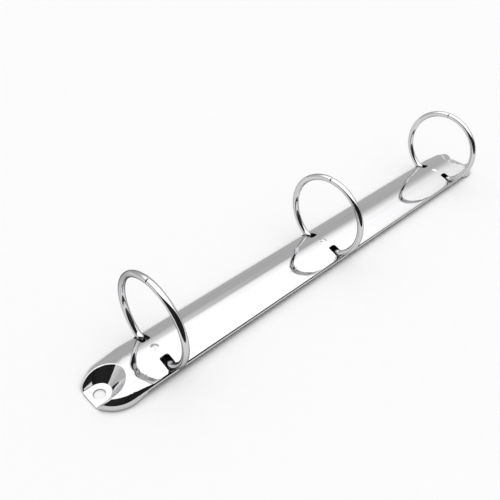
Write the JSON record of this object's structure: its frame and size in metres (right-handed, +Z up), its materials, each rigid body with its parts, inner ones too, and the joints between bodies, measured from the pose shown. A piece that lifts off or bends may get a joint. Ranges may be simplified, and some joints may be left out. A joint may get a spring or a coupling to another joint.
{
  "type": "ring binder mechanism",
  "caption": "Arched sheet-metal binder mechanism; wire half rings staked to hinge plates under the cover part at the top to take punched sheets.",
  "frame": {"origin": "middle of the base, on the surface the cover stands on", "axes": "+X along the cover towards the far end, +Z up through the rings, -Y towards the front"},
  "size_m": [0.28, 0.0442, 0.0447],
  "materials": {
    "plated_cover": "bright nickel plated sheet steel",
    "plated_wire": "bright nickel plated steel wire",
    "plate_steel": "plain zinc plated strip steel"
  },
  "bodies": {
    "cover": {"cover": "plated_cover"},
    "front_leaf": {"hinge_plate_front": "plate_steel", "half_ring_front_near": "plated_wire", "half_ring_front_middle": "plated_wire", "half_ring_front_far": "plated_wire"},
    "back_leaf": {"hinge_plate_back": "plate_steel", "half_ring_back_near": "plated_wire", "half_ring_back_middle": "plated_wire", "half_ring_back_far": "plated_wire"}
  },
  "joints": [
    {"name": "front_hinge", "type": "hinge", "parent": "cover", "child": "front_leaf", "pos_m": [0, -0.01195, 0.00295], "axis": [1, 0, 0], "range_deg": [0, 15]},
    {"name": "back_hinge", "type": "hinge", "parent": "cover", "child": "back_leaf", "pos_m": [0, 0.01195, 0.00295], "axis": [-1, 0, 0], "range_deg": [0, 15]}
  ],
  "couplings": [
    {"joint": "back_hinge", "follows": "front_hinge", "ratio": 1}
  ]
}
